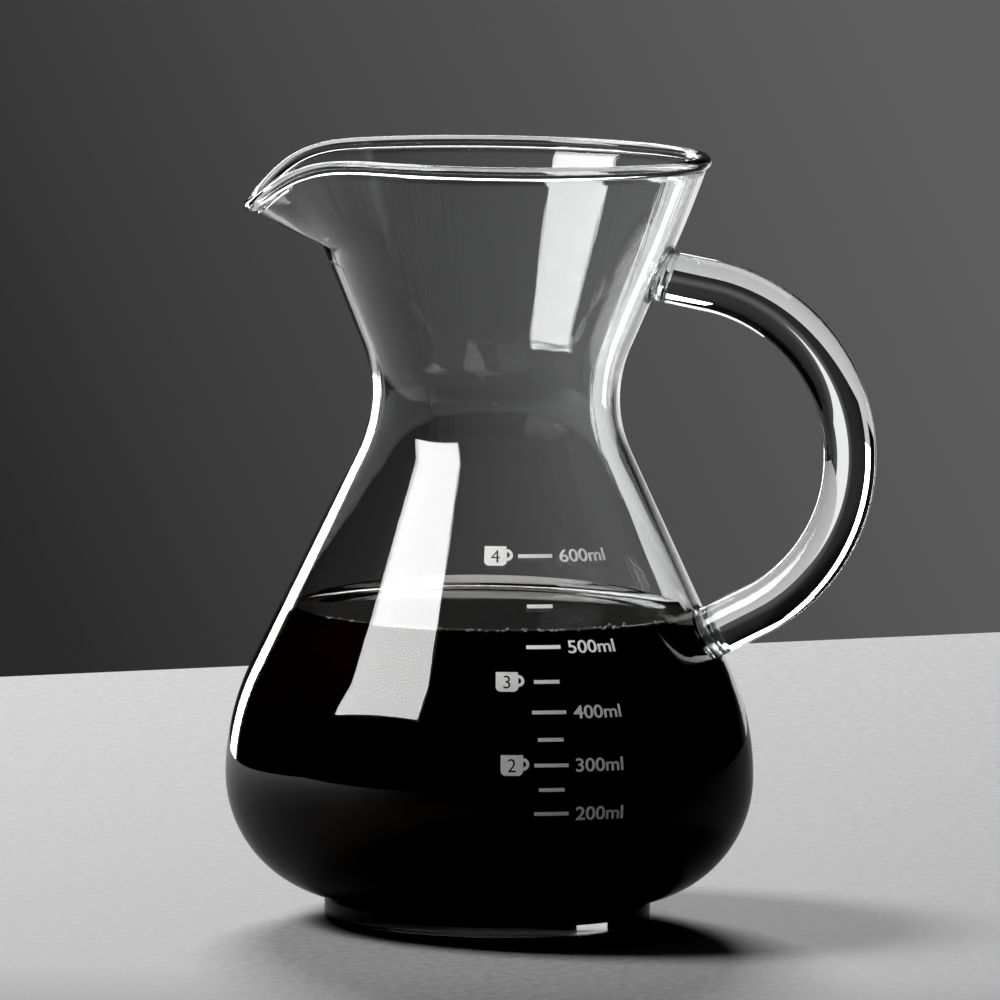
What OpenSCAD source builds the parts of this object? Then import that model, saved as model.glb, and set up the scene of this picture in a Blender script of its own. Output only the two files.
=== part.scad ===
// Glass coffee server carafe: an hour-glass vessel blown in one piece, with a pulled pouring lip,
// a bent glass rod welded on as its handle, and a volume scale printed on the belly.
// The vessel stands on z = 0 on the Z axis. The handle points to +X and the scale faces -Y.

/* [Vessel] */
// Height to the top of the rim
height = 168; // [160:0.5:180]
// Diameter of the base
base_d = 71; // [66:0.5:75]
// Rounding of the base's edge
base_round = 1.5; // [0.8:0.1:2]
// Radius of the cove between the base and the belly
base_cove = 1.5; // [1:0.1:2]
// Thickness of the glass in the middle of the base
base_t = 3; // [2:0.5:5]
// Height of the belly's lowest place above the table
foot_h = 5; // [4:0.1:6]
// Widest diameter of the belly
belly_d = 115; // [108:0.5:122]
// Radius of the belly's outline below its widest place
belly_low_arc = 27; // [24:0.5:30]
// Radius of the belly's outline above its widest place
belly_up_arc = 56.5; // [46:0.5:57]
// Diameter of the waist
waist_d = 54; // [48:0.5:60]
// Height of the neck, from the waist to the rim
neck_h = 53; // [48:0.5:58]
// Radius of the hollow outline at the waist
waist_arc = 28; // [20:0.5:34]
// Lean of the neck above the waist, in degrees from upright
neck_lean = 22.8; // [19:0.2:25]
// Thickness of the glass wall
wall = 1.8; // [1.5:0.1:2.5]

/* [Mouth] */
// Outer diameter of the rim
mouth_d = 92; // [88:0.5:96]
// Height of the lip, from where it begins to be pulled out to the rim
lip_h = 21; // [18:0.5:26]
// Diameter of the fire-polished bead along the rim
rim_bead = 3; // [2.6:0.1:4]
// How far the spout's tip stands out beyond the round rim
spout_reach = 9.2; // [5:0.2:13]
// How far the spout's tip dips below the rim
spout_dip = 11; // [6:0.5:15]
// Half width of the pulled lip, in degrees round the rim
spout_spread = 51; // [35:1:65]
// Half width of the dip, in degrees round the rim
dip_spread = 61; // [45:1:75]
// Turn of the spout towards the scale, in degrees from straight opposite the handle
spout_turn = 12; // [0:1:20]

/* [Handle] */
// Diameter of the glass rod
rod_d = 11.5; // [9:0.1:13]
// Radius of the handle's bow, to the middle of the rod
bow_r = 37.6; // [34:0.2:41]
// Distance of the bow's centre from the waist's outer face
bow_gap = 13.4; // [11:0.2:17]
// Distance of the bow's centre below the waist
bow_drop = 11.8; // [9:0.2:15]
// Angle above level at which the bow turns into its straight upper end
bow_top_a = 80; // [74:1:86]
// Angle below level at which the bow turns into its straight lower end
bow_low_a = 62; // [58:1:68]
// How far the pads that weld the rod to the vessel stand out round it
weld_rim = 1.05; // [0.8:0.05:1.7]
// Thickness of the welded pads
weld_t = 2.2; // [1.4:0.1:3]

/* [Scale] */
// Thickness of the printed enamel
print_t = 0.12; // [0.08:0.01:0.3]
// Turn of the scale from -Y towards the handle, in degrees
scale_turn = 23.5; // [0:0.5:40]
// Lowest volume marked, in millilitres
first_ml = 200; // [150:50:250]
// Highest volume marked, in millilitres
last_ml = 600; // [550:50:600]
// Step between two marks, in millilitres
step_ml = 50; // [50:50:100]
// Length of a line that has a number
long_line = 7.5; // [6:0.1:9]
// Length of a line without a number
short_line = 5.6; // [4:0.1:6]
// Height of a line
line_h = 0.75; // [0.5:0.05:1]
// Volume of one cup, in millilitres
cup_ml = 150; // [150:50:200]
// Least number of cups marked
first_cup = 2; // [2:1:2]
// Most cups marked
last_cup = 4; // [3:1:4]
// Width of a cup sign without its handle
cup_w = 4.8; // [3.6:0.1:5.4]
// Height of a cup sign
cup_h = 4.4; // [3.4:0.1:5]
// Gap between a line and the cup sign beside it
cup_gap = 1.1; // [0.6:0.1:2.5]

/* [Hidden] */
$fn = 96;
// Straight steps in each of the outline's arcs, and in its small roundings
arc_steps = 18;
round_steps = 5;
// Facets round the lip and along its bead
lip_sides = 96;
bead_steps = 8;
// Places of the lip's rings between the throat and the rim
ring_shares = [0, 0.2, 0.4, 0.6, 0.76, 0.9];
// Shapes of the lip: powers that give its outline and its dip from the angle off the spout
reach_power = 1.29;
reach_fall = 1.38;
dip_power = 1.79;
dip_fall = 5.7;
// The lip's foot is let into the neck's wall, which hides the seam
tongue_depth = wall / 2;
tongue_inset = wall / 4;
seam_inset = wall / 60;
// The rod's straight ends are let into its bow
end_lap = rod_d / 20;
end_inset = rod_d / 500;
// Height of the slices in which the filled volume is added up
slice_h = 1;
cubic_mm_per_ml = 1000;
// Share of the cup sign's height at which it starts to narrow, and its foot's share of the width
cup_side_share = 0.45;
cup_foot_share = 0.6;
// The sign's handle: its size as a share of the cup's height, its band and its middle's height
ear_share = 0.62;
ear_band_share = 0.3;
ear_z_share = 0.6;

base_r = base_d / 2;
belly_z = foot_h + belly_low_arc;
waist_z = height - neck_h;
throat_z = height - lip_h;
weld_d = rod_d + 2 * weld_rim;

// The upper belly's arc and the waist's arc are limited by the room between the belly and the waist
belly_rise = waist_z - belly_z;
belly_inset = (belly_d - waist_d) / 2;
arc_room = (pow(belly_rise, 2) + pow(belly_inset, 2)) / (2 * belly_inset);
arc_fit_share = min(1, arc_room / (belly_up_arc + waist_arc));
belly_up_r = belly_up_arc * arc_fit_share;
waist_r = waist_arc * arc_fit_share;
belly_low_c = [belly_d / 2 - belly_low_arc, belly_z];
belly_up_c = [belly_d / 2 - belly_up_r, belly_z];
waist_c = [waist_d / 2 + waist_r, waist_z];

// The shoulder is the straight line that touches the belly's upper arc and the waist's hollow arc
belly_to_waist = waist_c - belly_up_c;
shoulder_a = atan2(belly_to_waist.y, belly_to_waist.x)
    - acos(min(1, (belly_up_r + waist_r) / norm(belly_to_waist)));

// The cove touches the base's upright side and the belly's lower arc
cove_c = [base_r + base_cove, belly_low_c.y - sqrt(pow(belly_low_arc + base_cove, 2)
    - pow(base_r + base_cove - belly_low_c.x, 2))];
cove_end_a = atan2(belly_low_c.y - cove_c.y, belly_low_c.x - cove_c.x);

function polar(a) = [cos(a), sin(a)];
function arc(c, r, a0, a1, steps) = [for (i = [0 : steps]) c + r * polar(a0 + (a1 - a0) * i / steps)];

// Outline of the belly, shoulder, waist and neck at a distance off from the outer face, up to a height
function neck_outline(off, top) = let (
    neck_start = waist_c - (waist_r - off) * polar(-neck_lean))
    concat(
        arc(belly_up_c, belly_up_r + off, 0, shoulder_a, arc_steps),
        arc(waist_c, -(waist_r - off), shoulder_a, -neck_lean, arc_steps),
        [[neck_start.x + (top - neck_start.y) * tan(neck_lean), top]]);

// The same from the base's edge upwards
function outer_outline(off, top) = concat(
    arc([base_r - base_round, base_round], base_round + off, -90, 0, round_steps),
    arc(cove_c, base_cove - off, 180, cove_end_a, round_steps),
    arc(belly_low_c, belly_low_arc + off, cove_end_a - 180, 0, arc_steps),
    neck_outline(off, top));

// The inner face, from the middle of the floor upwards: the wall goes round the cove above the floor
floor_round = base_cove + wall;
floor_a = 180 - asin(max(0, base_t - cove_c.y) / floor_round);
function inner_outline(top) = concat(
    [[0, base_t], [cove_c.x + floor_round * cos(floor_a), base_t]],
    arc(cove_c, floor_round, floor_a, cove_end_a, round_steps),
    arc(belly_low_c, belly_low_arc - wall, cove_end_a - 180, 0, arc_steps),
    neck_outline(-wall, top));

function radius_at(outline, z) = lookup(z, [for (p = outline) [p.y, p.x]]);

outer_face = outer_outline(0, height);
print_face = outer_outline(print_t, height);
inner_face = inner_outline(throat_z);

// Filled volume below each height inside the vessel, and the height of a volume
slices = [for (z = base_t; z < waist_z; z = z + slice_h) z];
slice_areas = [for (z = slices) PI * pow(radius_at(inner_face, z + slice_h / 2), 2)];
fill = [for (i = 0, v = 0; i < len(slices); v = v + slice_areas[i] * slice_h, i = i + 1) [v, slices[i]]];
function level_z(ml) = lookup(ml * cubic_mm_per_ml, fill);

// The scale goes as far up as the vessel can be filled below its waist
full_ml = fill[len(fill) - 1][0] / cubic_mm_per_ml;
top_ml = min(last_ml, floor(full_ml / (2 * step_ml)) * 2 * step_ml);

// Solid of revolution inside the outer face, moved out by off
module outer_solid(off, top) {
    outline = outer_outline(off, top);
    rotate_extrude()
        polygon(concat([[0, outline[0].y]], outline, [[0, top]]));
}

// Lip: reach beyond the round rim and dip below it, at an angle from the spout
function fade(a, spread, power, fall) = pow(1 - pow(min(abs(a) / spread, 1), power), fall);
function lip_middle(a) = [
    mouth_d / 2 - rim_bead / 2 + spout_reach * fade(a, spout_spread, reach_power, reach_fall),
    height - rim_bead / 2 - spout_dip * fade(a, dip_spread, dip_power, dip_fall)];

throat_out = [radius_at(outer_face, throat_z) - seam_inset, throat_z];
throat_in = [radius_at(inner_face, throat_z) + seam_inset, throat_z];
bead_start_a = acos(wall / rim_bead);
// Swell of the mouth's wall that carries on the neck's slope
mouth_rise = height - rim_bead / 2 - throat_z;
mouth_swell = (tan(neck_lean) * mouth_rise - (mouth_d / 2 - rim_bead / 2 + wall / 2 - throat_out.x));

// One closed outline of the lip's wall in the upright plane at an angle from the spout
function lip_section(a) = let (
    middle = lip_middle(a),
    throat_middle = (throat_out + throat_in) / 2,
    along = (middle - throat_middle) / norm(middle - throat_middle),
    outward = [along.y, -along.x],
    swell = mouth_swell * (1 - fade(a, dip_spread, dip_power, 1)),
    outer_end = middle + outward * wall / 2,
    inner_end = middle - outward * wall / 2,
    outer_rings = [for (t = ring_shares)
        throat_out + (outer_end - throat_out) * t + [swell * t * (1 - t), 0]],
    inner_rings = [for (i = [len(ring_shares) - 1 : -1 : 0]) let (t = ring_shares[i])
        throat_in + (inner_end - throat_in) * t + [swell * t * (1 - t), 0]],
    bead = [for (i = [0 : bead_steps])
        let (b = -bead_start_a + (180 + 2 * bead_start_a) * i / bead_steps)
        middle + rim_bead / 2 * (cos(b) * outward + sin(b) * along)])
    concat(
        [throat_out - [tongue_inset, tongue_depth]],
        outer_rings, bead, inner_rings,
        [throat_in - [-tongue_inset, tongue_depth]]);

module lip() {
    sections = [for (i = [0 : lip_sides - 1]) lip_section(((i * 360 / lip_sides + 180) % 360) - 180)];
    rings = len(sections[0]);
    points = [for (i = [0 : lip_sides - 1]) let (a = i * 360 / lip_sides) for (p = sections[i])
        [p.x * cos(a), p.x * sin(a), p.y]];
    faces = [for (i = [0 : lip_sides - 1]) for (j = [0 : rings - 1])
        let (
            next = (i + 1) % lip_sides,
            above = (j + 1) % rings,
            corner = i * rings + j,
            side = next * rings + j,
            top = i * rings + above,
            far = next * rings + above)
        for (face = [[corner, top, side], [side, top, far]]) face];
    rotate([0, 0, 180 + spout_turn])
        polyhedron(points, faces);
}

// Vessel, blown in one piece with its pulled lip
module glass_body() {
    color("gainsboro") {
        rotate_extrude()
            polygon(concat(
                [[0, 0]],
                outer_outline(0, throat_z),
                [for (i = [len(inner_face) - 1 : -1 : 0]) inner_face[i]]));
        lip();
    }
}

// Straight ends of the rod: where each starts, its turn from upright, and a length that reaches inside
bow_x = waist_d / 2 + bow_gap;
bow_z = waist_z - bow_drop;
upper_start = [bow_x + bow_r * cos(bow_top_a), 0, bow_z + bow_r * sin(bow_top_a)];
lower_start = [bow_x + bow_r * cos(bow_low_a), 0, bow_z - bow_r * sin(bow_low_a)];
upper_turn = -bow_top_a;
lower_turn = 180 + bow_low_a;
upper_length = (upper_start.x - waist_d / 4) / sin(bow_top_a);
lower_length = (lower_start.x - waist_d / 4) / sin(bow_low_a);

// A straight end starts a little inside the bow and is a hair thinner, so that the two are one solid
module rod_end(start, turn, length, d) {
    translate(start)
        rotate([0, turn, 0])
            translate([0, 0, -end_lap])
                cylinder(d = d, h = length + end_lap);
}

// Bent glass rod, cut off where it meets the welded pads
module handle_rod() {
    color("silver")
        difference() {
            union() {
                translate([bow_x, 0, bow_z])
                    rotate([90, 0, 0])
                        rotate([0, 0, -bow_low_a])
                            rotate_extrude(angle = bow_low_a + bow_top_a)
                                translate([bow_r, 0])
                                    circle(d = rod_d);
                rod_end(upper_start, upper_turn, upper_length, rod_d - 2 * end_inset);
                rod_end(lower_start, lower_turn, lower_length, rod_d - 2 * end_inset);
            }
            outer_solid(weld_t, height);
        }
}

// Pad of melted glass between the vessel's outer face and an end of the rod
module weld_pad(start, turn, length) {
    intersection() {
        rod_end(start, turn, length, weld_d);
        difference() {
            outer_solid(weld_t, height);
            outer_solid(0, height);
        }
    }
}

module upper_weld() {
    color("lightgray")
        weld_pad(upper_start, upper_turn, upper_length);
}

module lower_weld() {
    color("lightgray")
        weld_pad(lower_start, lower_turn, lower_length);
}

// Stretch of an outline between two heights
function stretch(outline, low, high) = concat(
    [[radius_at(outline, low), low]],
    [for (p = outline) if (p.y > low && p.y < high) p],
    [[radius_at(outline, high), high]]);

// Thin band of enamel that lies on the belly: its two heights, its middle's turn and its sweep
module enamel_band(low, high, turn, sweep) {
    back = stretch(outer_face, low, high);
    front = stretch(print_face, low, high);
    rotate([0, 0, turn - sweep / 2])
        rotate_extrude(angle = sweep)
            polygon(concat(back, [for (i = [len(front) - 1 : -1 : 0]) front[i]]));
}

// One printed line of the scale
module scale_line(z, length) {
    sweep = length / radius_at(outer_face, z) * 180 / PI;
    enamel_band(z - line_h / 2, z + line_h / 2, scale_turn - 90, sweep);
}

// Lines at the full hundreds, which have a number beside them
module volume_lines() {
    color("white")
        for (ml = [first_ml : 2 * step_ml : top_ml])
            scale_line(level_z(ml), long_line);
}

// Shorter lines half way between them
module half_lines() {
    color("white")
        for (ml = [first_ml + step_ml : 2 * step_ml : top_ml - step_ml])
            scale_line(level_z(ml), short_line);
}

// Flat sign of a cup with a ring handle, its middle at the origin
module cup_shape() {
    polygon([
        [-cup_w / 2, cup_h / 2],
        [-cup_w / 2, cup_h / 2 - cup_h * cup_side_share],
        [-cup_w / 2 * cup_foot_share, -cup_h / 2],
        [cup_w / 2 * cup_foot_share, -cup_h / 2],
        [cup_w / 2, cup_h / 2 - cup_h * cup_side_share],
        [cup_w / 2, cup_h / 2]]);
    translate([cup_w / 2, cup_h * (ear_z_share - 1 / 2)])
        difference() {
            circle(d = cup_h * ear_share);
            circle(d = cup_h * (ear_share - 2 * ear_band_share * ear_share));
        }
}

// One cup sign, printed on the belly beside the line of its volume
module cup_sign(z) {
    radius = radius_at(outer_face, z);
    aside = long_line / 2 + cup_gap + cup_h * ear_share / 2 + cup_w / 2;
    turn = scale_turn - 90 - aside / radius * 180 / PI;
    sweep = 2 * (cup_w + cup_h) / radius * 180 / PI;
    intersection() {
        rotate([0, 0, turn])
            translate([0, 0, z])
                rotate([90, 0, 90])
                    linear_extrude(height = belly_d)
                        cup_shape();
        enamel_band(z - cup_h, z + cup_h, turn, sweep);
    }
}

// Signs of two, three and four cups
module cup_signs() {
    color("white")
        for (cups = [first_cup : min(last_cup, floor(top_ml / cup_ml))])
            cup_sign(level_z(cups * cup_ml));
}

glass_body();
handle_rod();
upper_weld();
lower_weld();
volume_lines();
half_lines();
cup_signs();
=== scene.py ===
# Glass coffee server carafe: its blown glass, its printed scale and the coffee in it.
import math
import random
from bisect import bisect_right

import bmesh
import bpy
from mathutils import Matrix, Vector
from mathutils.kdtree import KDTree


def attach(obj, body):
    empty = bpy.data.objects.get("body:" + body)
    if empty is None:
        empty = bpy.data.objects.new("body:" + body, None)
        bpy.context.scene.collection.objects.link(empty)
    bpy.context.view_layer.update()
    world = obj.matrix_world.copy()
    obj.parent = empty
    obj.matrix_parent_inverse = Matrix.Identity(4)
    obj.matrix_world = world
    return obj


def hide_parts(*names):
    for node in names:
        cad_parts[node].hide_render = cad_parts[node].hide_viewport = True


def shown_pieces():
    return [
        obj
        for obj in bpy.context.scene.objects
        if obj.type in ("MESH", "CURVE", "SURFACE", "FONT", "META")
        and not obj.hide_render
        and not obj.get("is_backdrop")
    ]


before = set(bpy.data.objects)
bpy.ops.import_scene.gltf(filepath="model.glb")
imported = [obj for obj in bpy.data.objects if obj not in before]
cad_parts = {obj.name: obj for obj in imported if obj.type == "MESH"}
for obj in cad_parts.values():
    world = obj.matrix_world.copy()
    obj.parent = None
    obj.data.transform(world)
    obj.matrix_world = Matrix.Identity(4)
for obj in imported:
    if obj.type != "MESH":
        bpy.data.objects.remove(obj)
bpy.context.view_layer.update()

# Sizes in metres, and angles in radians, as the construction has them
MM = 0.001
DEG = math.pi / 180
UP = Vector((0, 0, 1))
HEIGHT = 168 * MM
BASE_R = 35.5 * MM
BASE_ROUND = 1.5 * MM
BASE_COVE = 1.5 * MM
BASE_T = 3 * MM
FOOT_H = 5 * MM
BELLY_R = 57.5 * MM
BELLY_LOW_ARC = 27 * MM
BELLY_UP_ARC = 56.5 * MM
WAIST_R = 27 * MM
NECK_H = 53 * MM
WAIST_ARC = 28 * MM
NECK_LEAN = 22.8 * DEG
WALL = 1.8 * MM
MOUTH_R = 46 * MM
LIP_H = 21 * MM
RIM_BEAD = 3 * MM
SPOUT_REACH = 9.2 * MM
SPOUT_DIP = 11 * MM
SPOUT_SPREAD = 51 * DEG
DIP_SPREAD = 61 * DEG
SPOUT_TURN = 12 * DEG
REACH_POWER, REACH_FALL = 1.29, 1.38
DIP_POWER, DIP_FALL = 1.79, 5.7
ROD_R = 5.75 * MM
BOW_R = 37.6 * MM
BOW_GAP = 13.4 * MM
BOW_DROP = 11.8 * MM
BOW_TOP = 80 * DEG
BOW_LOW = 62 * DEG
WELD_RIM = 1.05 * MM
WELD_T = 2.2 * MM
PRINT_T = 0.12 * MM
SCALE_TURN = 23.5 * DEG
CUP_W = 4.8 * MM
CUP_H = 4.4 * MM
CUP_ASIDE = 8.61 * MM
LONG_LINE = 7.5 * MM

# How the camera and the table are turned about the axis
CAM_AZ = 10 * DEG
TABLE_TURN = 37.7 * DEG

# Faces round the pieces, and rings along the rod
VESSEL_SIDES = 384
COFFEE_SIDES = 256
ROD_SIDES = 64
ROD_RINGS = 96

# Places this close are taken as one, or merged, and edges sharper than this stay sharp
SAME = 1e-6
DOUBLE = 1e-7
TINY = 1e-9
SHARP = 40 * DEG

# Places worked out from them
BELLY_Z = FOOT_H + BELLY_LOW_ARC
WAIST_Z = HEIGHT - NECK_H
THROAT_Z = HEIGHT - LIP_H
BELLY_LOW_C = Vector((BELLY_R - BELLY_LOW_ARC, BELLY_Z))
BELLY_UP_C = Vector((BELLY_R - BELLY_UP_ARC, BELLY_Z))
WAIST_C = Vector((WAIST_R + WAIST_ARC, WAIST_Z))
BELLY_TO_WAIST = WAIST_C - BELLY_UP_C
SHOULDER_A = (math.atan2(BELLY_TO_WAIST.y, BELLY_TO_WAIST.x)
              - math.acos((BELLY_UP_ARC + WAIST_ARC) / BELLY_TO_WAIST.length))
COVE_C = Vector((BASE_R + BASE_COVE, BELLY_Z - math.sqrt(
    (BELLY_LOW_ARC + BASE_COVE) ** 2 - (BASE_R + BASE_COVE - BELLY_LOW_C.x) ** 2)))
COVE_END_A = math.atan2(BELLY_Z - COVE_C.y, BELLY_LOW_C.x - COVE_C.x)
BOW_C = Vector((WAIST_R + BOW_GAP, 0, WAIST_Z - BOW_DROP))


# Outlines in an upright plane, as (distance from the axis, height)
def polar(angle):
    return Vector((math.cos(angle), math.sin(angle)))


def shares(steps):
    return [i / steps for i in range(steps + 1)]


def arc(centre, radius, start, end, steps):
    return [centre + radius * polar(start + (end - start) * t) for t in shares(steps)]


def neck_outline(off, top, steps=24):
    """Belly, shoulder, waist and neck, off metres outside the outer face, up to a height."""
    start = WAIST_C - (WAIST_ARC - off) * polar(-NECK_LEAN)
    end = Vector((start.x + (top - start.y) * math.tan(NECK_LEAN), top))
    return (arc(BELLY_UP_C, BELLY_UP_ARC + off, 0, SHOULDER_A, steps)[1:]
            + arc(WAIST_C, off - WAIST_ARC, SHOULDER_A, -NECK_LEAN, steps)
            + [start.lerp(end, t) for t in shares(6)[1:]])


def outer_outline(top):
    """The outer face from the base's edge upwards."""
    return (arc(Vector((BASE_R - BASE_ROUND, BASE_ROUND)), BASE_ROUND, -math.pi / 2, 0, 8)
            + arc(COVE_C, BASE_COVE, math.pi, COVE_END_A, 8)
            + arc(BELLY_LOW_C, BELLY_LOW_ARC, COVE_END_A - math.pi, 0, 26)[1:]
            + neck_outline(0, top))


def inner_outline(off, top):
    """The inner face from the middle of the floor upwards, off metres into the glass."""
    bend = BASE_COVE + WALL - off
    floor_z = BASE_T - off
    floor_a = math.pi - math.asin(max(-1, min(1, (floor_z - COVE_C.y) / bend)))
    edge = Vector((COVE_C.x + bend * math.cos(floor_a), floor_z))
    floor = [Vector((edge.x * t, floor_z)) for t in shares(6)[:-1]]
    return (floor + arc(COVE_C, bend, floor_a, COVE_END_A, 8)
            + arc(BELLY_LOW_C, BELLY_LOW_ARC - WALL + off, COVE_END_A - math.pi, 0, 26)[1:]
            + neck_outline(off - WALL, top))


def radius_at(outline, z):
    """Radius of an upward outline at a height."""
    above = min(max(bisect_right(outline, z, key=lambda p: p.y), 1), len(outline) - 1)
    low, high = outline[above - 1], outline[above]
    rise = max(high.y - low.y, TINY)
    return low.lerp(high, min(max((z - low.y) / rise, 0), 1)).x


OUTER = outer_outline(HEIGHT)
INNER = inner_outline(0, THROAT_Z)
THROAT_OUT = Vector((radius_at(OUTER, THROAT_Z), THROAT_Z))
THROAT_IN = INNER[-1]


def fade(angle, spread, power, fall):
    return (1 - min(abs(angle) / spread, 1) ** power) ** fall


def lip_section(angle):
    """The lip's wall at an angle from the spout, from the throat's outer edge over the bead to its inner edge."""
    reach = SPOUT_REACH * fade(angle, SPOUT_SPREAD, REACH_POWER, REACH_FALL)
    dip = SPOUT_DIP * fade(angle, DIP_SPREAD, DIP_POWER, DIP_FALL)
    middle = Vector((MOUTH_R - RIM_BEAD / 2 + reach, HEIGHT - RIM_BEAD / 2 - dip))
    along = (middle - (THROAT_OUT + THROAT_IN) / 2).normalized()
    outward = Vector((along.y, -along.x))
    rise = LIP_H - RIM_BEAD / 2
    slack = math.tan(NECK_LEAN) * rise - (MOUTH_R - RIM_BEAD / 2 + WALL / 2 - THROAT_OUT.x)
    swell = slack * (1 - fade(angle, DIP_SPREAD, DIP_POWER, 1))

    def face(start, end):
        return [start.lerp(end, t) + Vector((swell * t * (1 - t), 0)) for t in shares(16)[1:-1]]

    bead_start = math.acos(WALL / RIM_BEAD)
    bead = [middle + RIM_BEAD / 2 * (math.cos(b) * outward + math.sin(b) * along)
            for b in (-bead_start + (math.pi + 2 * bead_start) * t for t in shares(14))]
    outer_face = face(THROAT_OUT, middle + outward * WALL / 2)
    inner_face = face(THROAT_IN, middle - outward * WALL / 2)
    return outer_face + bead + inner_face[::-1]


# Modelling steps that several pieces share
def start_mesh(name, points, edges):
    """A new object of bare edges, ready in edit mode with all of it selected."""
    bpy.ops.object.select_all(action="DESELECT")
    mesh = bpy.data.meshes.new(name)
    mesh.from_pydata([tuple(p) for p in points], edges, [])
    piece = bpy.data.objects.new(name, mesh)
    bpy.context.collection.objects.link(piece)
    bpy.context.view_layer.objects.active = piece
    piece.select_set(True)
    bpy.ops.object.mode_set(mode="EDIT")
    bpy.ops.mesh.select_all(action="SELECT")
    return piece


def finish_mesh(piece):
    """Merge doubles, turn the faces outwards, and leave edit mode with faces smooth between sharp edges."""
    bpy.ops.mesh.select_all(action="SELECT")
    bpy.ops.mesh.remove_doubles(threshold=DOUBLE)
    bpy.ops.mesh.normals_make_consistent(inside=False)
    bpy.ops.object.mode_set(mode="OBJECT")
    bpy.ops.object.shade_smooth_by_angle(angle=SHARP)
    return piece


def lathe(name, outline, steps, closed=False):
    """An outline spun round the upright axis."""
    points = [(p.x, 0, p.y) for p in outline]
    edges = [(i, i + 1) for i in range(len(points) - 1)] + closed * [(len(points) - 1, 0)]
    piece = start_mesh(name, points, edges)
    bpy.ops.mesh.spin(steps=steps, angle=2 * math.pi, center=(0, 0, 0), axis=UP)
    return finish_mesh(piece)


# Glass body: the outline is spun, then the lip is pulled out of the round mouth
def make_glass_body():
    low_outer = outer_outline(THROAT_Z)
    foot = [Vector((low_outer[0].x * t, 0)) for t in shares(5)[:-1]]
    round_lip = lip_section(math.pi)
    body = lathe("glass_vessel", foot + low_outer + round_lip + INNER[::-1], VESSEL_SIDES)
    nearest = KDTree(len(round_lip))
    for index, point in enumerate(round_lip):
        nearest.insert(point.to_3d(), index)
    nearest.balance()
    sections = {}
    for vertex in body.data.vertices:
        if vertex.co.z < THROAT_Z + SAME:
            continue
        index = nearest.find((vertex.co.xy.length, vertex.co.z, 0))[1]
        bearing = math.atan2(vertex.co.y, vertex.co.x)
        angle = (bearing - SPOUT_TURN) % (2 * math.pi) - math.pi
        key = round(angle, 5)
        if key not in sections:
            sections[key] = lip_section(angle)
        pulled = sections[key][index]
        vertex.co = (*(pulled.x * polar(bearing)), pulled.y)
    return body


# Handle: straight ends of the rod, each as its start and the way that it runs into the wall
ROD_ENDS = {
    "upper": (BOW_C + BOW_R * Vector((math.cos(BOW_TOP), 0, math.sin(BOW_TOP))),
              Vector((-math.sin(BOW_TOP), 0, math.cos(BOW_TOP)))),
    "lower": (BOW_C + BOW_R * Vector((math.cos(BOW_LOW), 0, -math.sin(BOW_LOW))),
              Vector((-math.sin(BOW_LOW), 0, -math.cos(BOW_LOW)))),
}
ACROSS = Vector((0, 1, 0))
# How deep the rod and the pads reach into the wall, whose outer face their ends follow
ROD_DEPTH = 0.6 * MM
PAD_DEPTH = 1.0 * MM
# How far the bow's ends are drawn on before they meet the wall, and the room for telling their points
ROD_STUB = 3 * MM
ROD_SLACK = 1.01
# The pads' lap over the rod, and the powers of their hollow curve
PAD_LAP = 0.25 * MM
COLLAR_FLARE, COLLAR_FALL = 3, 1.6
# Where the wall is looked for along a line, and how often that stretch is halved
WALL_FROM, WALL_TO = -20 * MM, 60 * MM
HALVINGS = 26


def to_wall(place, way, off):
    """The place on the line through place along way that stands off from the wall."""
    near, far = WALL_FROM, WALL_TO
    for _ in range(HALVINGS):
        middle = place + way * (near + far) / 2
        if middle.xy.length - radius_at(OUTER, middle.z) > off:
            near = (near + far) / 2
        else:
            far = (near + far) / 2
    return place + way * near


def make_handle_rod():
    """The bow, spun from a ring, with both ends drawn on into the wall."""
    start, way = ROD_ENDS["upper"]
    side = way.cross(ACROSS)
    ring = [start + ROD_R * (math.cos(a) * ACROSS + math.sin(a) * side)
            for a in (2 * math.pi * t for t in shares(ROD_SIDES)[:-1])]
    rod = start_mesh("bent_rod", ring, [(i, (i + 1) % ROD_SIDES) for i in range(ROD_SIDES)])
    bpy.ops.mesh.spin(steps=ROD_RINGS, angle=-(BOW_TOP + BOW_LOW), center=BOW_C, axis=ACROSS)
    for start, way in ROD_ENDS.values():
        bpy.ops.mesh.select_all(action="DESELECT")
        bm = bmesh.from_edit_mesh(rod.data)
        for edge in bm.edges:
            aways = [v.co - start for v in edge.verts]
            if all(abs(away.dot(way)) < SAME and away.length < 2 * ROD_R for away in aways):
                edge.select_set(True)
        bmesh.update_edit_mesh(rod.data)
        bpy.ops.mesh.extrude_region_move(TRANSFORM_OT_translate={"value": way * ROD_STUB})
        bpy.ops.mesh.fill_grid(span=ROD_SIDES // 4)
        bm = bmesh.from_edit_mesh(rod.data)
        for vertex in bm.verts:
            ahead = (vertex.co - start).dot(way)
            if ahead > SAME and (vertex.co - start - way * ahead).length < ROD_R * ROD_SLACK:
                vertex.co = to_wall(vertex.co, way, -ROD_DEPTH)
        bmesh.update_edit_mesh(rod.data)
    return finish_mesh(rod)


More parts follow.
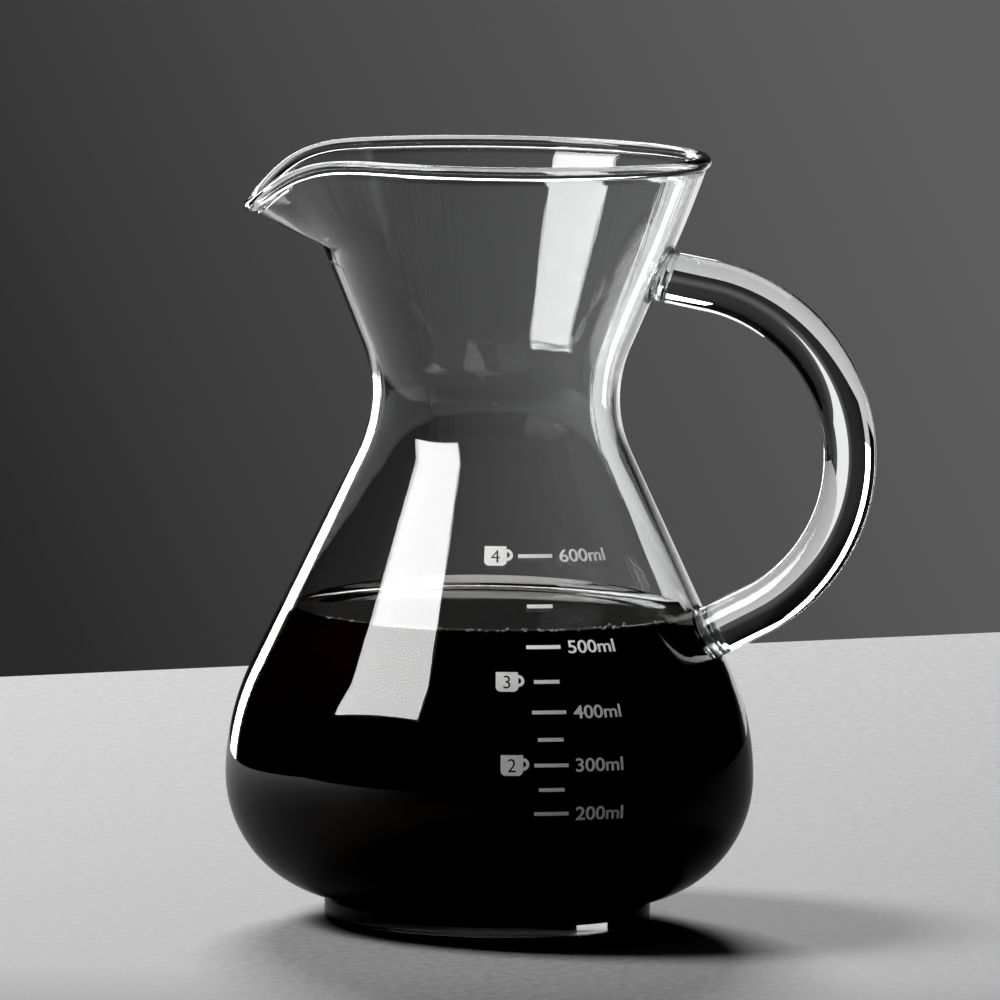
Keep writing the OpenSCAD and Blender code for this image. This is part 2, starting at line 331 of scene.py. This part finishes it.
def make_weld(name, end):
    """Pad of melted glass: a collar that swells from the rod to the wall in a hollow curve."""
    start, way = ROD_ENDS[end]
    side = way.cross(ACROSS)
    top = Vector((ROD_R - PAD_LAP, WELD_T + PAD_LAP))
    foot = Vector((ROD_R + WELD_RIM, 0))
    collar = [Vector((top.x + (foot.x - top.x) * t ** COLLAR_FLARE, top.y * (1 - t) ** COLLAR_FALL))
              for t in shares(12)]
    under = Vector((foot.x - PAD_LAP, -PAD_DEPTH))
    outline = [Vector((top.x * t, top.y)) for t in shares(8)[:-1]] + collar
    outline += [Vector((under.x * (1 - t), under.y)) for t in shares(8)]
    pad = lathe(name, outline, ROD_SIDES)
    for vertex in pad.data.vertices:
        vertex.co = to_wall(start + vertex.co.x * side + vertex.co.y * ACROSS, way, vertex.co.z)
    return pad


# Coffee: dark up to its level, with a clear edge that climbs the wall all round
# Its level, where the points of its side end below that, how far up its surface looks, and its lap into the glass
LEVEL = 67.9 * MM
LAST_RING = 0.25 * MM
UPWARD = 0.9
COFFEE_LAP = 0.1 * MM
WET = inner_outline(COFFEE_LAP, THROAT_Z)
# The edge: how high it climbs and how fast that falls off, the share left in front, its section and its dark part
CLIMB = 2.6 * MM
CLIMB_WIDTH = 1.5 * MM
FRONT_CLIMB = 0.12
EDGE_WIDTH = 9 * MM
EDGE_CROWD = 1.6
EDGE_DEPTH = 0.2 * MM
DARK_WIDTH = 2 * MM
# The bubbles: their sizes, how high they float, and how far they keep to the wall and to the scale
BUBBLES = 110
BUBBLE_MM = (0.18, 0.55)
BUBBLE_LIFT = 0.2
FOAM_MM = 0.9
FOAM_SPREAD = 0.55


def climb_at(radius):
    """Height of the coffee's surface at a distance from the axis."""
    return LEVEL + CLIMB * math.exp((radius - radius_at(INNER, LEVEL + CLIMB)) / CLIMB_WIDTH)


def behind(place):
    """How far round to the back a place is, from -1 at the front to 1."""
    return place.xy.normalized().dot(Vector((-math.sin(CAM_AZ), math.cos(CAM_AZ))))


def make_coffee():
    """The dark coffee, whose surface has the second material slot."""
    side = [p for p in WET if p.y < LEVEL - LAST_RING]
    edge = Vector((radius_at(WET, LEVEL), LEVEL))
    surface = [Vector((edge.x * (1 - t), LEVEL)) for t in shares(12)]
    coffee = lathe("coffee", side + surface, COFFEE_SIDES)
    for face in coffee.data.polygons:
        face.material_index = int(face.normal.z > UPWARD)
    return coffee


def make_coffee_edge():
    """The clear edge, which climbs less in front. There its slots are the dark coffee at the wall and the surface."""
    top = LEVEL + CLIMB
    low = LEVEL - EDGE_DEPTH
    wall = [Vector((radius_at(WET, z), z)) for z in (low + (top - low) * t for t in shares(12))]
    surface = [Vector((r, climb_at(r)))
               for r in (radius_at(INNER, top) - EDGE_WIDTH * t ** EDGE_CROWD for t in shares(24))]
    edge = lathe("coffee_edge", wall + surface + [Vector((surface[-1].x, low))], COFFEE_SIDES, closed=True)
    for vertex in edge.data.vertices:
        rise = vertex.co.z - LEVEL
        if rise > 0:
            kept = FRONT_CLIMB + (1 - FRONT_CLIMB) * ((1 + behind(vertex.co)) / 2) ** 2
            vertex.co.z = LEVEL + rise * kept
    dark_from = radius_at(INNER, LEVEL) - DARK_WIDTH
    for face in edge.data.polygons:
        if behind(face.center) < 0:
            face.material_index = 1 if face.center.xy.length > dark_from else 2
    return edge


def make_bubbles():
    """Small bubbles along the coffee's edge, most of them on the scale's side."""
    pick = random.Random(11)
    bubbles = start_mesh("bubbles", [], [])
    for _ in range(BUBBLES):
        size = pick.uniform(*BUBBLE_MM) * MM
        radius = radius_at(INNER, LEVEL) - size - pick.expovariate(1 / FOAM_MM) * MM
        bearing = SCALE_TURN - math.pi / 2 + pick.gauss(0, FOAM_SPREAD)
        place = (*(radius * polar(bearing)), LEVEL + BUBBLE_LIFT * size)
        bpy.ops.mesh.primitive_ico_sphere_add(subdivisions=2, radius=size, location=place)
    return finish_mesh(bubbles)


# Print: words and signs are laid flat, made a mesh and wrapped on the belly
NUMBER_W = 11.1 * MM
NUMBER_H = 2.85 * MM
NUMBER_GAP = 1.7 * MM
FIRST_ML, STEP_ML = 200, 100
LINES_APART = 2 * MM
# Height of a capital as a share of the letters' size, extra width of a stroke, and height of a cup's digit
CAPITAL_SHARE = 0.7
STROKE_SHARE = 0.012
DIGIT_SHARE = 0.66


def flat_text(words, height):
    """A flat word with its lower left corner at the origin, as a curve object."""
    bpy.ops.object.select_all(action="DESELECT")
    bpy.ops.object.text_add()
    text = bpy.context.object
    text.data.body = words
    text.data.size = height / CAPITAL_SHARE
    text.data.offset = STROKE_SHARE * height
    return text


def as_mesh(flat, name):
    """A flat text or curve as a mesh plate, in which long faces are split."""
    flat.data.extrude = PRINT_T / 2
    flat.data.resolution_u = 6
    flat.data.fill_mode = "BOTH"
    bpy.ops.object.convert(target="MESH")
    plate = bpy.context.object
    plate.name = plate.data.name = name
    bpy.ops.object.mode_set(mode="EDIT")
    bpy.ops.mesh.select_all(action="SELECT")
    bpy.ops.mesh.quads_convert_to_tris()
    bpy.ops.mesh.subdivide(number_cuts=1)
    return finish_mesh(plate)


def wrap_on_belly(plate, across, z):
    """Lay a flat plate on the belly, its origin across metres right of the scale's middle, at a height."""
    ring = radius_at(OUTER, z)
    slope = (radius_at(OUTER, z + MM) - radius_at(OUTER, z - MM)) / (2 * MM)
    for vertex in plate.data.vertices:
        x, y, depth = vertex.co
        height = z + y / math.hypot(1, slope)
        bearing = SCALE_TURN - math.pi / 2 + (across + x) / ring
        radius = radius_at(OUTER, height) + (PRINT_T if depth > 0 else -PRINT_T / 4)
        vertex.co = (*(radius * polar(bearing)), height)
    return plate


def join(name, plates):
    """Several objects as one, which takes the first one's place."""
    bpy.ops.object.select_all(action="DESELECT")
    for plate in plates:
        plate.select_set(True)
    bpy.context.view_layer.objects.active = plates[0]
    bpy.ops.object.join()
    plates[0].name = plates[0].data.name = name
    return plates[0]


def line_heights(node):
    """Heights of the printed lines of one node, lowest first."""
    levels = sorted(v.co.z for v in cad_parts[node].data.vertices)
    groups = [[levels[0]]]
    for low, high in zip(levels, levels[1:]):
        if high - low > LINES_APART:
            groups.append([])
        groups[-1].append(high)
    return [(group[0] + group[-1]) / 2 for group in groups]


LONG_HEIGHTS = line_heights("volume_lines")
SHORT_HEIGHTS = line_heights("half_lines")


def make_numbers():
    plates = []
    for index, z in enumerate(LONG_HEIGHTS):
        plate = as_mesh(flat_text(f"{FIRST_ML + STEP_ML * index}ml", NUMBER_H), "number")
        left = min(v.co.x for v in plate.data.vertices)
        right = max(v.co.x for v in plate.data.vertices)
        for vertex in plate.data.vertices:
            vertex.co.x = (vertex.co.x - left) * NUMBER_W / (right - left)
            vertex.co.y -= NUMBER_H / 2
        plates.append(wrap_on_belly(plate, LONG_LINE / 2 + NUMBER_GAP, z))
    return join("scale_numbers", plates)


def mug_loops():
    """Outline of a mug with its handle on the right, and the handle's hole."""
    half_w, half_h, corner = CUP_W / 2, CUP_H / 2, 1.1 * MM
    grip, hole, grip_z, hole_out = 1.35 * MM, 0.65 * MM, 0.25 * MM, 0.05 * MM
    quarter = math.pi / 2
    outline = [Vector((half_w, half_h))]
    outline += arc(Vector((half_w, grip_z)), grip, quarter, -quarter, 14)
    outline += arc(Vector((half_w - corner, corner - half_h)), corner, 0, -quarter, 8)
    outline += arc(Vector((corner - half_w, corner - half_h)), corner, -quarter, -math.pi, 8)
    outline += [Vector((-half_w, half_h))]
    return outline, arc(Vector((half_w + hole_out, grip_z)), hole, quarter, -quarter, 10)


def make_cup_sign(digit, z):
    """A mug with its number of cups knocked out."""
    number = flat_text(digit, DIGIT_SHARE * CUP_H)
    number.data.align_x = "CENTER"
    number.location = (0, -DIGIT_SHARE / 2 * CUP_H, 0)
    bpy.ops.object.convert(target="CURVE")
    number = bpy.context.object
    data = bpy.data.curves.new("cup", "CURVE")
    data.dimensions = "2D"
    for loop in mug_loops():
        spline = data.splines.new("POLY")
        spline.points.add(len(loop) - 1)
        for point, place in zip(spline.points, loop):
            point.co = (place.x, place.y, 0, 1)
        spline.use_cyclic_u = True
    cup = bpy.data.objects.new("cup", data)
    bpy.context.collection.objects.link(cup)
    return wrap_on_belly(as_mesh(join("cup", [cup, number]), "cup"), -CUP_ASIDE, z)


def make_cup_signs():
    heights = {"2": LONG_HEIGHTS[1], "3": SHORT_HEIGHTS[2], "4": LONG_HEIGHTS[4]}
    return join("cup_prints", [make_cup_sign(digit, z) for digit, z in heights.items()])


# Materials
class Shade:
    """A shader socket with which sums can be written; each step adds a node to its tree."""

    def __init__(self, tree, socket=None):
        self.tree, self.socket = tree, socket

    def node(self, kind, sockets, out=0, **settings):
        """A new node with its settings, and with the values or links of its sockets."""
        made = self.tree.nodes.new("ShaderNode" + kind)
        for name, value in settings.items():
            setattr(made, name, value)
        for name, value in sockets.items():
            if isinstance(value, Shade):
                self.tree.links.new(value.socket, made.inputs[name])
            else:
                made.inputs[name].default_value = value
        return Shade(self.tree, made.outputs[out])

    def __add__(self, other):
        return self.node("Math", {0: self, 1: other}, operation="ADD")

    def __mul__(self, other):
        return self.node("Math", {0: self, 1: other}, operation="MULTIPLY")

    __radd__, __rmul__ = __add__, __mul__

    def vector(self, operation, *others, out=0):
        return self.node("VectorMath", dict(enumerate((self, *others))), out=out, operation=operation)

    def dot(self, way):
        return self.vector("DOT_PRODUCT", way, out="Value")

    def ramp(self, low, high, start, end):
        """Runs from start to end as the socket runs from low to high, and stays there beyond."""
        return self.node("MapRange", {"Value": self, "From Min": low, "From Max": high,
                                      "To Min": start, "To Max": end})

    def noise(self, scale, detail=2.0):
        return self.node("TexNoise", {"Vector": self, "Scale": scale, "Detail": detail})

    def colours(self, first, second):
        """A colour between two, with the socket as the share of the second."""
        return self.node("Mix", {0: self, 6: (*first, 1), 7: (*second, 1)}, out=2, data_type="RGBA")

    def bump(self, strength, distance):
        return self.node("Bump", {"Height": self, "Strength": strength, "Distance": distance})


def new_material(name):
    """A material with its shader node, and a place on the object to build from."""
    material = bpy.data.materials.new(name)
    material.use_nodes = True
    tree = material.node_tree
    return material, tree.nodes["Principled BSDF"], Shade(tree).node("TexCoord", {}, out="Object")


def dress(shader, values):
    """Set the shader's sockets to constants, or link them to sums."""
    for name, value in values.items():
        if isinstance(value, Shade):
            value.tree.links.new(value.socket, shader.inputs[name])
        else:
            shader.inputs[name].default_value = value


def clear_glass():
    """Blown glass with faint drawn streaks, scuffed under the base, and with painted shade that darkens its foot."""
    material, shader, place = new_material("clear_glass")
    around = place.vector("MULTIPLY", (1, 1, 0)).vector("NORMALIZE")

    def streaks(turns, along, detail):
        """Noise that runs up and down the glass, with a number of changes round it and along it."""
        upward = place.vector("MULTIPLY", (0, 0, along))
        return around.vector("MULTIPLY_ADD", (turns,) * 3, upward).noise(1, detail)

    height = place.dot(UP)
    neck = height.ramp(100 * MM, 140 * MM, 0.25, 1)
    scuffs = place.noise(600, 3).ramp(0.35, 0.65, 0.02, 0.08) * height.ramp(1 * MM, 5 * MM, 1, 0)
    # Painted shade: below 6.5 mm the glass is tinted nearly black so the foot reads as shaded; the noise is the
    # glass's own faint tint.
    clear = place.noise(18).ramp(0.3, 0.7, 0.98, 1) * height.ramp(4 * MM, 6.5 * MM, 0.08, 1)
    drawn = streaks(3, 8, 2) + (streaks(14, 14, 3) * 0.22 + streaks(60, 30, 2) * 0.07) * neck
    dress(shader, {"Base Color": clear.colours((0, 0, 0), (0.985, 0.995, 0.99)),
                   "Roughness": drawn.ramp(0.5, 0.9, 0.0, 0.012) + scuffs,
                   "Normal": drawn.bump(0.1, 0.6 * MM),
                   "Transmission Weight": 1, "IOR": 1.48})
    return material


def white_enamel():
    """Thin white print, darker below the coffee's level where the coffee behind it shows through, and with painted
    shade that darkens it further towards the bottom.
    """
    material, shader, place = new_material("white_enamel")
    grain = place.noise(1500, 3)
    height = place.dot(UP)
    # Painted shade: the print greys from 56 mm down to 30 mm; the step near the coffee's level is the coffee showing
    # through.
    pale = (height.ramp(30 * MM, 56 * MM, 0, 0.27) + height.ramp(56 * MM, 66 * MM, 0, 0.65)
            + grain.ramp(0.3, 0.7, 0, 0.08))
    dress(shader, {"Base Color": pale.colours((0.29, 0.29, 0.285), (0.95, 0.95, 0.93)),
                   "Roughness": grain.ramp(0.3, 0.7, 0.5, 0.38),
                   "Normal": grain.bump(0.3, 0.05 * MM)})
    return material


def black_coffee(name, shine):
    material, shader, place = new_material(name)
    oils = place.noise(60, 4)
    brown = oils.ramp(0.35, 0.7, 0, 1)
    dress(shader, {"Base Color": brown.colours((0.0022, 0.0015, 0.0012), (0.0042, 0.0029, 0.0022)),
                   "Roughness": oils.ramp(0.35, 0.7, 0.02, 0.06),
                   "IOR": 1.33, "Specular IOR Level": shine})
    return material


def pale_foam():
    material, shader, place = new_material("pale_foam")
    film = place.noise(900, 2)
    dress(shader, {"Base Color": film.ramp(0.3, 0.7, 0, 1).colours((0.03, 0.027, 0.025), (0.13, 0.12, 0.11)),
                   "Roughness": film.ramp(0.3, 0.7, 0.15, 0.35), "IOR": 1.33})
    return material


def thin_coffee():
    material, shader, place = new_material("thin_coffee")
    oils = place.noise(90, 3)
    dress(shader, {"Base Color": oils.ramp(0.3, 0.7, 0, 1).colours((0.93, 0.90, 0.87), (0.98, 0.96, 0.94)),
                   "Roughness": oils.ramp(0.3, 0.7, 0.0, 0.03), "Transmission Weight": 1, "IOR": 1.33})
    return material


def stone(name, aside, dark_at, pale_at, grain):
    """Speckled stone with painted shade, which pales towards an angle left of the back, and with a painted contact
    shadow close under the carafe.
    """
    material, shader, place = new_material(name)
    speckle = place.noise(420, 4)
    turned = TABLE_TURN - CAM_AZ - aside
    depth = place.dot((math.sin(turned), math.cos(turned), 0))
    spread = place.vector("LENGTH", out="Value")
    # Painted shade: the depth ramp darkens it away from the lit side and the spread ramp is a painted contact shadow;
    # the speckle is the stone's own.
    speckle_and_painted_shade = (depth.ramp(dark_at, pale_at, 0.05, 0.58) * spread.ramp(30 * MM, 45 * MM, 0.12, 1)
            * speckle.ramp(0.25, 0.75, 1 - grain, 1 + grain))
    dress(shader, {"Base Color": speckle_and_painted_shade, "Roughness": speckle.ramp(0.3, 0.7, 0.75, 0.9),
                   "Normal": speckle.bump(grain, 0.1 * MM)})
    return material


def belong(piece, materials, nodes=()):
    """Give a piece its materials and its place in the assembly."""
    for material in materials:
        piece.data.materials.append(material)
    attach(piece, "root")
    if nodes:
        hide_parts(*nodes)


# Assembly: the glass lets light through, so it casts no shadow
glass, enamel = clear_glass(), white_enamel()
coffee_side, coffee_top = black_coffee("coffee_in_glass", 0.08), black_coffee("coffee_surface", 0.4)
for piece, node in ((make_glass_body(), "glass_body"), (make_handle_rod(), "handle_rod"),
                    (make_weld("upper_pad", "upper"), "upper_weld"), (make_weld("lower_pad", "lower"), "lower_weld")):
    belong(piece, [glass], [node])
    piece.visible_shadow = False
belong(make_coffee(), [coffee_side, coffee_top])
belong(make_bubbles(), [pale_foam()])
edge = make_coffee_edge()
edge.visible_shadow = False
belong(edge, [thin_coffee(), black_coffee("coffee_at_wall", 0), coffee_top])
belong(make_numbers(), [enamel])
belong(make_cup_signs(), [enamel], ["cup_signs"])
for node in ("volume_lines", "half_lines"):
    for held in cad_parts[node].material_slots:
        held.material = enamel

# Stage: a pale table whose far edge shows behind the carafe, and a dim one that only reflections show; both carry
# painted shade
TABLE_W, TABLE_NEAR, TABLE_FAR = 2, -0.8, 0.4375


def make_table(name, z, material):
    bpy.ops.mesh.primitive_plane_add(size=TABLE_W, rotation=(0, 0, TABLE_TURN))
    table = bpy.context.object
    table.name = table.data.name = name
    for vertex in table.data.vertices:
        vertex.co = (vertex.co.x, TABLE_FAR if vertex.co.y > 0 else TABLE_NEAR, z)
    table.data.materials.append(material)
    table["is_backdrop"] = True
    return table


# The table's painted shade darkens its front and paints a contact shadow under the carafe.
table = make_table("table", -0.2 * MM, stone("pale_stone", 0, -0.3, -0.08, 0.2))
table.visible_glossy = False
# The dim table's painted shade keeps the table's reflection in the glass dark near the carafe and paler far off.
mirrored = make_table("mirrored_table", -0.1 * MM, stone("dim_stone", 60 * DEG, 0, 0.6, 0.01))
mirrored.visible_camera = mirrored.visible_shadow = False
mirrored.visible_diffuse = mirrored.visible_transmission = False

# Camera, whose picture is FRAME_PX wide
CAM_D, CAM_H, CAM_ROLL = 2.8, 0.3877, 0.957 * DEG
AIM_H, AIM_ASIDE = 91.93 * MM, 1.32 * MM
FOCAL_PX, FRAME_PX, SENSOR = 12951, 1000, 36
camera_data = bpy.data.cameras.new("camera")
camera_data.sensor_width = SENSOR
camera_data.lens = FOCAL_PX * SENSOR / FRAME_PX
camera_data.clip_end = 50
camera = bpy.data.objects.new("camera", camera_data)
bpy.context.collection.objects.link(camera)
eye = Vector((CAM_D * math.sin(CAM_AZ), -CAM_D * math.cos(CAM_AZ), CAM_H))
right = Vector((math.cos(CAM_AZ), math.sin(CAM_AZ), 0))
back = Vector((-right.y, right.x, 0))
aim = UP * AIM_H + right * AIM_ASIDE
turn = (aim - eye).to_track_quat("-Z", "Y").to_matrix().to_4x4()
camera.matrix_world = Matrix.Translation(eye) @ turn @ Matrix.Rotation(CAM_ROLL, 4, "Z")
bpy.context.scene.camera = camera


# Lights
LAMP_H = 1.3


def panel(name, place, way, width, height, radiance):
    """An area light at a place, that faces along way."""
    data = bpy.data.lights.new(name, "AREA")
    data.shape = "RECTANGLE"
    data.size = width
    data.size_y = height
    data.energy = radiance * math.pi * width * height
    light = bpy.data.objects.new(name, data)
    bpy.context.collection.objects.link(light)
    light.location = place
    light.visible_camera = False
    light.rotation_euler = way.to_track_quat("-Z", "Y").to_euler()
    return light


def window(name, bearing, distance, aside, width, low, high, radiance):
    """An upright panel at a bearing, in degrees to the left of the camera, moved aside the same way round."""
    out = polar(CAM_AZ - math.pi / 2 - bearing * DEG).to_3d()
    left = Vector((out.y, -out.x, 0))
    middle = out * distance + left * aside + UP * (low + high) / 2
    return panel(name, middle, -out, width, high - low, radiance)


def lamp(name, aside, depth, size, radiance):
    """A square panel overhead that faces down, aside to the right of the carafe and behind it."""
    return panel(name, right * aside + back * depth + UP * LAMP_H, -UP, size, size, radiance)


def light_alone(name, lights, lit):
    """Let lights reach only the objects that are lit by them."""
    receivers = bpy.data.collections.new(name)
    for held in lit:
        receivers.objects.link(held)
    for light in lights:
        light.light_linking.receiver_collection = receivers


light_alone("carafe", [
    window("key_window", bearing=35, distance=1.3, aside=0.6, width=1.2, low=0.72, high=1.75, radiance=14),
    window("left_window", bearing=151.5, distance=1.6, aside=0, width=0.34, low=-0.135, high=0.8, radiance=8),
    window("left_sill", bearing=151.5, distance=1.6, aside=0, width=0.34, low=-0.36, high=-0.135, radiance=0.6),
    window("back_window", bearing=165, distance=1.6, aside=0, width=1.4, low=0.9, high=1.6, radiance=7.5),
    window("far_window", bearing=-164.5, distance=1.2, aside=0, width=0.37, low=-0.16, high=0.09, radiance=0.8),
    lamp("left_lamp", aside=-0.58, depth=0.52, size=0.6, radiance=8.8),
    lamp("right_lamp", aside=0.45, depth=0.6, size=0.8, radiance=2.1),
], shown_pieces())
light_alone("tables", [
    window("low_lamp", bearing=175, distance=1.6, aside=0, width=0.6, low=0.82, high=1.18, radiance=40),
    lamp("high_lamp", aside=-1.05, depth=0.04, size=0.55, radiance=19),
], (table, mirrored))

# Room: behind the carafe it pales to the right and upwards, and it is dim overhead, at the sides and in front
world = bpy.data.worlds.new("room")
world.use_nodes = True
way = Shade(world.node_tree).node("TexCoord", {}, out="Generated")
depth = way.dot(back)
shown = way.dot(right + UP * 0.5).ramp(-0.0925, -0.0025, 0.025, 0.117)
ceiling = way.dot(UP).ramp(-0.05, 0.05, 1, 0.3)
around = depth.ramp(0.85, 0.98, 0.1, 1) + depth.ramp(0.1, 0.5, 0.4, 0)
dress(world.node_tree.nodes["Background"], {"Color": shown * ceiling * around})

# View
BLACK = 0.003
BOUNCES = 32
scene = bpy.context.scene
scene.world = world
scene.view_settings.view_transform = "Standard"
scene.view_settings.use_curve_mapping = True
scene.view_settings.curve_mapping.black_level = (BLACK,) * 3
scene.cycles.max_bounces = BOUNCES
scene.cycles.transmission_bounces = BOUNCES
scene.cycles.glossy_bounces = BOUNCES // 2
scene.cycles.caustics_reflective = False
scene.cycles.caustics_refractive = False
scene.cycles.use_denoising = True
